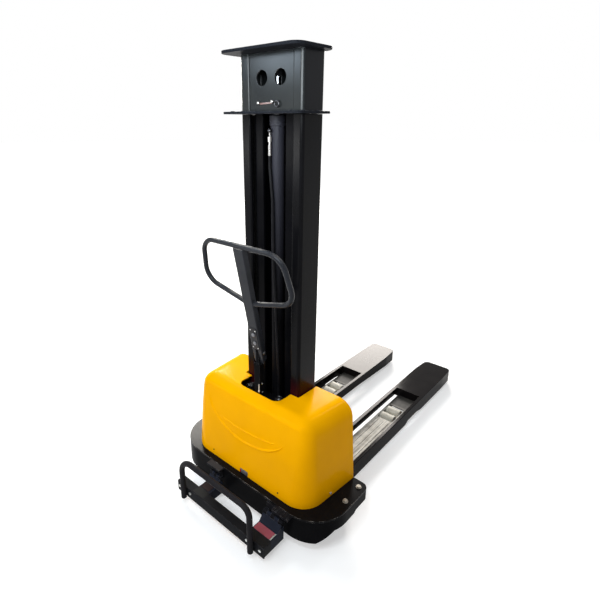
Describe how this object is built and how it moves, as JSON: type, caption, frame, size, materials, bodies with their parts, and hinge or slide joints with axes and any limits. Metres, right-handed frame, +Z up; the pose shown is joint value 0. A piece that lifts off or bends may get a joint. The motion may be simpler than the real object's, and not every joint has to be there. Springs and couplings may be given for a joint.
{
  "type": "self-loading stacker",
  "caption": "Walk-behind stacker with a sliding mast, forks over fixed support legs, a moulded cover, a tilting loop handle and a hinged rear frame.",
  "frame": {"origin": "on the floor under the middle of the whole machine's box", "axes": "+Z up along the mast, +Y towards the fork tips, +X to the operator's right"},
  "size_m": [0.864, 1.738, 1.807],
  "materials": {
    "black_paint": "satin black paint",
    "fork_paint": "gloss black paint",
    "cover_yellow": "gloss yellow moulding",
    "head_paint": "satin dark grey paint",
    "barrel_paint": "gloss black paint",
    "rod_chrome": "polished chrome",
    "zinc_steel": "zinc plated",
    "leg_steel": "galvanised and worn",
    "hose_rubber": "matt black rubber",
    "battery_case": "matt black plastic",
    "unit_paint": "grey paint",
    "socket_plastic": "matt grey plastic",
    "lamp_red": "clear red plastic",
    "roller_nylon": "pale cast nylon",
    "guide_steel": "ground steel",
    "handle_paint": "satin dark grey paint",
    "plate_plastic": "matt black plastic",
    "button_grey": "soft grey plastic",
    "tread_red": "dull red rubber",
    "caster_steel": "zinc plated pressing",
    "caster_hub": "grey plastic",
    "caster_tread": "dark polyurethane tread"
  },
  "bodies": {
    "chassis": {"deck": "black_paint", "skirt": "black_paint", "deck_bolts": "zinc_steel", "mast_rail_right": "black_paint", "mast_rail_left": "black_paint", "mast_ties": "black_paint", "cylinder_barrel": "barrel_paint", "cylinder_gland": "zinc_steel", "hose_fitting": "zinc_steel", "hose": "hose_rubber", "battery": "battery_case", "power_unit": "unit_paint", "cover": "cover_yellow", "charge_socket": "socket_plastic", "charge_lamp": "lamp_red", "handle_stem": "black_paint", "legs": "leg_steel", "leg_brackets": "leg_steel", "leg_axles": "zinc_steel", "hinge_leaves": "black_paint", "caster_plates": "black_paint"},
    "lift": {"inner_rails": "black_paint", "flange_plate": "black_paint", "top_plate": "black_paint", "head_rails": "black_paint", "head_plate": "head_paint", "head_clamp": "zinc_steel", "flange_bolts": "zinc_steel", "piston_rod": "rod_chrome", "carriage": "black_paint", "fork_right": "fork_paint", "fork_left": "fork_paint", "fork_axles": "zinc_steel"},
    "handle": {"handle_post": "handle_paint", "handle_loop": "handle_paint", "button_plate": "plate_plastic", "handle_screws": "zinc_steel"},
    "button_up": {"button_up": "button_grey"},
    "button_down": {"button_down": "button_grey"},
    "rear_frame": {"frame_arms": "black_paint", "frame_bar": "black_paint", "frame_tube": "black_paint", "frame_bolts": "zinc_steel", "frame_treads": "tread_red"},
    "leg_roller_right_rear": {"leg_roller_right_rear": "roller_nylon"},
    "leg_roller_right_front": {"leg_roller_right_front": "roller_nylon"},
    "guide_roller_right_low": {"guide_roller_right_low": "guide_steel"},
    "guide_roller_right_high": {"guide_roller_right_high": "guide_steel"},
    "fork_roller_right": {"fork_roller_right": "roller_nylon"},
    "caster_swivel_right": {"caster_yoke_right": "caster_steel"},
    "caster_wheel_right": {"caster_hub_right": "caster_hub", "caster_tyre_right": "caster_tread"},
    "leg_roller_left_rear": {"leg_roller_left_rear": "roller_nylon"},
    "leg_roller_left_front": {"leg_roller_left_front": "roller_nylon"},
    "guide_roller_left_low": {"guide_roller_left_low": "guide_steel"},
    "guide_roller_left_high": {"guide_roller_left_high": "guide_steel"},
    "fork_roller_left": {"fork_roller_left": "roller_nylon"},
    "caster_swivel_left": {"caster_yoke_left": "caster_steel"},
    "caster_wheel_left": {"caster_hub_left": "caster_hub", "caster_tyre_left": "caster_tread"}
  },
  "joints": [
    {"name": "lift_slide", "type": "slide", "parent": "chassis", "child": "lift", "axis": [0, 0, 1], "range_m": [0, 1.15]},
    {"name": "handle_tilt", "type": "hinge", "parent": "chassis", "child": "handle", "pos_m": [0, -0.583, 0.705], "axis": [1, 0, 0], "range_deg": [-10, 45]},
    {"name": "frame_hinge", "type": "hinge", "parent": "chassis", "child": "rear_frame", "pos_m": [0, -0.734, 0.112], "axis": [-1, 0, 0], "range_deg": [0, 45]},
    {"name": "button_up_press", "type": "slide", "parent": "handle", "child": "button_up", "axis": [0, 0.9789, 0.2045], "range_m": [0, 0.003], "stiffness_N_per_m": 400},
    {"name": "button_down_press", "type": "slide", "parent": "handle", "child": "button_down", "axis": [0, 0.9789, 0.2045], "range_m": [0, 0.003], "stiffness_N_per_m": 400},
    {"name": "leg_roller_right_rear_spin", "type": "hinge", "parent": "chassis", "child": "leg_roller_right_rear", "pos_m": [0.192, 0.221, 0.03], "axis": [1, 0, 0], "continuous": true},
    {"name": "leg_roller_right_front_spin", "type": "hinge", "parent": "chassis", "child": "leg_roller_right_front", "pos_m": [0.192, 0.289, 0.03], "axis": [1, 0, 0], "continuous": true},
    {"name": "guide_roller_right_low_spin", "type": "hinge", "parent": "lift", "child": "guide_roller_right_low", "pos_m": [0.1195, -0.4535, 0.11], "axis": [1, 0, 0], "continuous": true},
    {"name": "guide_roller_right_high_spin", "type": "hinge", "parent": "lift", "child": "guide_roller_right_high", "pos_m": [0.1195, -0.4535, 0.39], "axis": [1, 0, 0], "continuous": true},
    {"name": "fork_roller_right_spin", "type": "hinge", "parent": "lift", "child": "fork_roller_right", "pos_m": [0.1915, 0.714, 0.046], "axis": [1, 0, 0], "continuous": true},
    {"name": "caster_swivel_right_turn", "type": "hinge", "parent": "chassis", "child": "caster_swivel_right", "pos_m": [0.363, -0.477, 0.136], "axis": [0, 0, 1], "continuous": true},
    {"name": "caster_wheel_right_spin", "type": "hinge", "parent": "caster_swivel_right", "child": "caster_wheel_right", "pos_m": [0.363, -0.507, 0.045], "axis": [1, 0, 0], "continuous": true},
    {"name": "leg_roller_left_rear_spin", "type": "hinge", "parent": "chassis", "child": "leg_roller_left_rear", "pos_m": [-0.192, 0.221, 0.03], "axis": [1, 0, 0], "continuous": true},
    {"name": "leg_roller_left_front_spin", "type": "hinge", "parent": "chassis", "child": "leg_roller_left_front", "pos_m": [-0.192, 0.289, 0.03], "axis": [1, 0, 0], "continuous": true},
    {"name": "guide_roller_left_low_spin", "type": "hinge", "parent": "lift", "child": "guide_roller_left_low", "pos_m": [-0.1195, -0.4535, 0.11], "axis": [1, 0, 0], "continuous": true},
    {"name": "guide_roller_left_high_spin", "type": "hinge", "parent": "lift", "child": "guide_roller_left_high", "pos_m": [-0.1195, -0.4535, 0.39], "axis": [1, 0, 0], "continuous": true},
    {"name": "fork_roller_left_spin", "type": "hinge", "parent": "lift", "child": "fork_roller_left", "pos_m": [-0.1915, 0.714, 0.046], "axis": [1, 0, 0], "continuous": true},
    {"name": "caster_swivel_left_turn", "type": "hinge", "parent": "chassis", "child": "caster_swivel_left", "pos_m": [-0.363, -0.477, 0.136], "axis": [0, 0, 1], "continuous": true},
    {"name": "caster_wheel_left_spin", "type": "hinge", "parent": "caster_swivel_left", "child": "caster_wheel_left", "pos_m": [-0.363, -0.507, 0.045], "axis": [1, 0, 0], "continuous": true}
  ]
}
